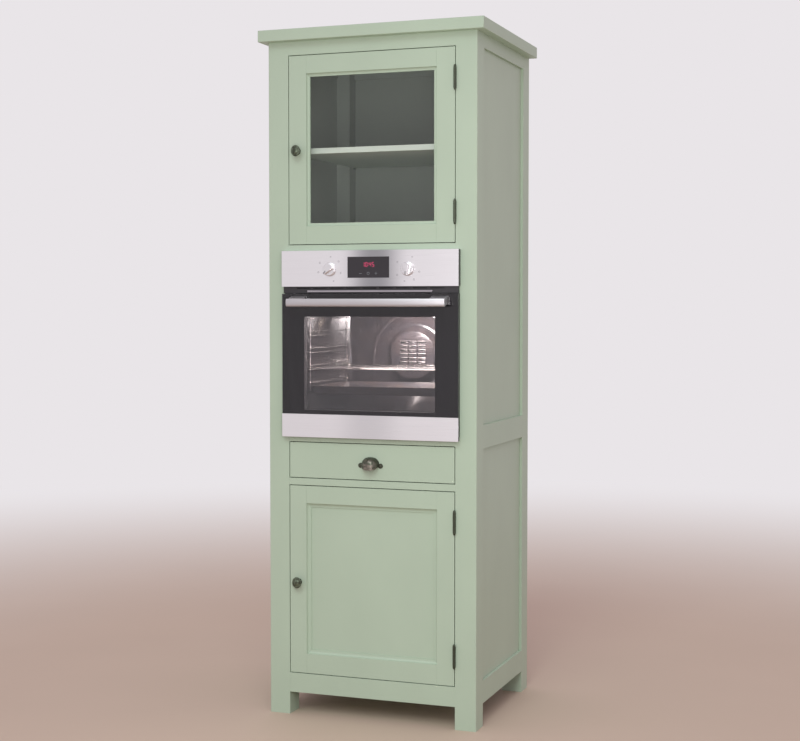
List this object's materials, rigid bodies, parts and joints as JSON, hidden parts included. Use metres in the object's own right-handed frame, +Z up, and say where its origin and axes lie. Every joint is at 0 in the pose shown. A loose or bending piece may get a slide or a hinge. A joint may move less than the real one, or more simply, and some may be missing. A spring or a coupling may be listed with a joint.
{
  "type": "kitchen cabinet",
  "caption": "Tall painted kitchen cabinet on square legs, with a glazed cupboard on top, a built-in oven with a drop-down door, a drawer and a panelled cupboard below.",
  "frame": {"origin": "on the floor, at the middle of the overall footprint, crown and oven handle included", "axes": "+Z up; the doors face -Y; +X to the right of a person who faces the doors"},
  "size_m": [0.755, 0.657, 2.2],
  "materials": {
    "painted_wood": "satin grey-green paint over fine-grained wood",
    "plain_wood": "clear lacquered beech",
    "dark_bronze": "dark aged bronze, lightly worn at the edges",
    "plated_steel": "zinc plated",
    "oven_steel": "stainless, brushed from side to side",
    "knob_metal": "satin turned metal",
    "handle_metal": "satin, brushed along its length",
    "chrome_trim": "polished",
    "chrome_wire": "polished wire",
    "fan_metal": "bare pressed sheet",
    "element_metal": "heat-tinted heating rod",
    "black_metal": "matt black paint",
    "dark_enamel": "smooth dark vitreous enamel",
    "grey_enamel": "speckled grey enamel",
    "black_plastic": "heat-resistant moulding",
    "black_gloss": "smoked display window",
    "pale_plastic": "moulded",
    "seal_rubber": "heat-resistant seal",
    "oven_glass": "smoked, with a black printed border",
    "inner_glass": "clear heat-resistant glass",
    "pane_glass": "clear float glass",
    "lamp_glass": "ribbed clear lens"
  },
  "bodies": {
    "cabinet": {"crown_top": "painted_wood", "front_posts": "painted_wood", "rear_posts": "painted_wood", "front_rails": "painted_wood", "side_rails": "painted_wood", "rear_rails": "painted_wood", "side_panels": "painted_wood", "back_panels": "painted_wood", "glazed_floor": "painted_wood", "oven_floor": "painted_wood", "drawer_dust_board": "painted_wood", "cabinet_floor": "painted_wood", "glazed_shelf": "painted_wood", "cupboard_shelf": "painted_wood", "shelf_pins": "plated_steel", "drawer_runners": "plain_wood", "door_catches": "pale_plastic", "hinge_frame_leaves": "dark_bronze", "hinge_pins": "dark_bronze", "oven_casing": "plated_steel", "oven_trim_frame": "black_metal", "oven_liner": "dark_enamel", "oven_seal": "seal_rubber", "control_panel": "oven_steel", "display_window": "black_gloss", "vent_grille": "black_metal", "vent_strip": "chrome_trim", "fan_cover": "dark_enamel", "side_ladders": "chrome_wire", "wire_shelf": "chrome_wire", "baking_tray": "grey_enamel", "grill_element": "element_metal", "oven_lamp": "lamp_glass", "fan_motor": "plated_steel", "oven_screws": "plated_steel", "door_hinge_receivers": "plated_steel"},
    "function_knob": {"function_knob": "knob_metal"},
    "temperature_knob": {"temperature_knob": "knob_metal"},
    "fan": {"fan_wheel": "fan_metal"},
    "oven_door": {"oven_outer_glass": "oven_glass", "oven_inner_glass": "inner_glass", "oven_door_carrier": "black_plastic", "oven_door_strip": "oven_steel", "handle_bar": "handle_metal", "handle_brackets": "handle_metal", "door_hinge_arms": "plated_steel"},
    "glazed_door": {"glazed_door_frame": "painted_wood", "glazed_door_beads": "painted_wood", "glazed_door_pane": "pane_glass", "glazed_door_knob": "dark_bronze", "glazed_door_fittings": "dark_bronze"},
    "panel_door": {"panel_door_frame": "painted_wood", "panel_door_moulding": "painted_wood", "panel_door_panel": "painted_wood", "panel_door_knob": "dark_bronze", "panel_door_fittings": "dark_bronze"},
    "drawer": {"drawer_front": "painted_wood", "drawer_box": "plain_wood", "drawer_bottom": "plain_wood", "cup_pull": "dark_bronze"}
  },
  "joints": [
    {"name": "glazed_door_hinge", "type": "hinge", "parent": "cabinet", "child": "glazed_door", "pos_m": [0.27975, -0.27185, 1.8175], "axis": [0, 0, 1], "range_deg": [0, 170]},
    {"name": "panel_door_hinge", "type": "hinge", "parent": "cabinet", "child": "panel_door", "pos_m": [0.27975, -0.27185, 0.441], "axis": [0, 0, 1], "range_deg": [0, 170]},
    {"name": "drawer_slide", "type": "slide", "parent": "cabinet", "child": "drawer", "axis": [0, -1, 0], "range_m": [0, 0.35]},
    {"name": "oven_door_hinge", "type": "hinge", "parent": "cabinet", "child": "oven_door", "pos_m": [0, -0.2765, 0.9112], "axis": [1, 0, 0], "range_deg": [0, 90], "stiffness_Nm_per_rad": 6, "springref_deg": -17.19},
    {"name": "function_knob_turn", "type": "hinge", "parent": "cabinet", "child": "function_knob", "pos_m": [-0.131, -0.2865, 1.4375], "axis": [0, 1, 0], "continuous": true},
    {"name": "temperature_knob_turn", "type": "hinge", "parent": "cabinet", "child": "temperature_knob", "pos_m": [0.131, -0.2865, 1.4375], "axis": [0, 1, 0], "range_deg": [0, 270]},
    {"name": "fan_spin", "type": "hinge", "parent": "cabinet", "child": "fan", "pos_m": [0, 0.1465, 1.155], "axis": [0, 1, 0], "continuous": true}
  ]
}
